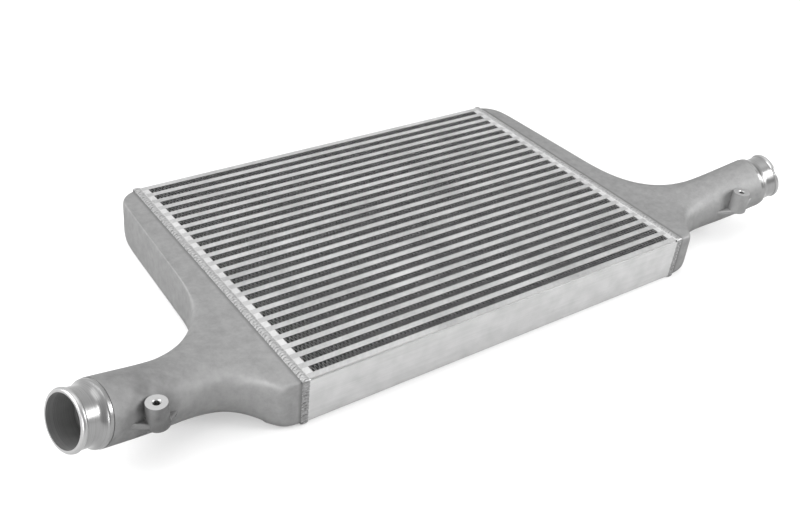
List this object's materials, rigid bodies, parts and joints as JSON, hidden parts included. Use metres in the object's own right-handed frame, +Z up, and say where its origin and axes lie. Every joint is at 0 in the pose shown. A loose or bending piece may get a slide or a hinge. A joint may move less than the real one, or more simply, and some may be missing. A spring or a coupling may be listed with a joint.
{
  "type": "intercooler",
  "caption": "Front-mount bar-and-plate intercooler: a flat finned aluminium core between two cast end tanks, each narrowing into a raised hose tube with a bracket boss.",
  "frame": {"origin": "middle of the core seen from above, on the surface that the weld beads rest on", "axes": "+X along the charge air from the left tank to the right tank, +Y from the front side plate, beside the tubes, to the rear side plate, +Z up through the core, the way the outside air crosses it"},
  "size_m": [0.9916, 0.4062, 0.0986],
  "materials": {
    "cast_tank": "sand cast and bead blasted, turned and faced where it is machined",
    "weld_bead": "rippled weld metal",
    "side_plate": "mill-finish sheet, slightly milky after brazing",
    "core_bar": "extruded bar, satin after brazing",
    "braze_sheet": "clad sheet after brazing",
    "fin_strip": "thin folded strip, dull after brazing"
  },
  "bodies": {
    "root": {"ambient_fin_01": "fin_strip", "ambient_fin_02": "fin_strip", "ambient_fin_03": "fin_strip", "ambient_fin_04": "fin_strip", "ambient_fin_05": "fin_strip", "ambient_fin_06": "fin_strip", "ambient_fin_07": "fin_strip", "ambient_fin_08": "fin_strip", "ambient_fin_09": "fin_strip", "ambient_fin_10": "fin_strip", "ambient_fin_11": "fin_strip", "ambient_fin_12": "fin_strip", "ambient_fin_13": "fin_strip", "ambient_fin_14": "fin_strip", "ambient_fin_15": "fin_strip", "ambient_fin_16": "fin_strip", "ambient_fin_17": "fin_strip", "ambient_fin_18": "fin_strip", "ambient_fin_19": "fin_strip", "ambient_fin_20": "fin_strip", "ambient_fin_21": "fin_strip", "ambient_fin_22": "fin_strip", "ambient_fin_23": "fin_strip", "ambient_fin_24": "fin_strip", "bottom_charge_bars": "core_bar", "front_side_plate": "side_plate", "left_bottom_weld": "weld_bead", "left_end_bars": "core_bar", "left_end_tank": "cast_tank", "left_front_weld": "weld_bead", "left_rear_weld": "weld_bead", "left_top_weld": "weld_bead", "parting_sheets": "braze_sheet", "rear_side_plate": "side_plate", "right_bottom_weld": "weld_bead", "right_end_bars": "core_bar", "right_end_tank": "cast_tank", "right_front_weld": "weld_bead", "right_rear_weld": "weld_bead", "right_top_weld": "weld_bead", "top_charge_bars": "core_bar", "turbulators": "fin_strip"}
  },
  "joints": []
}
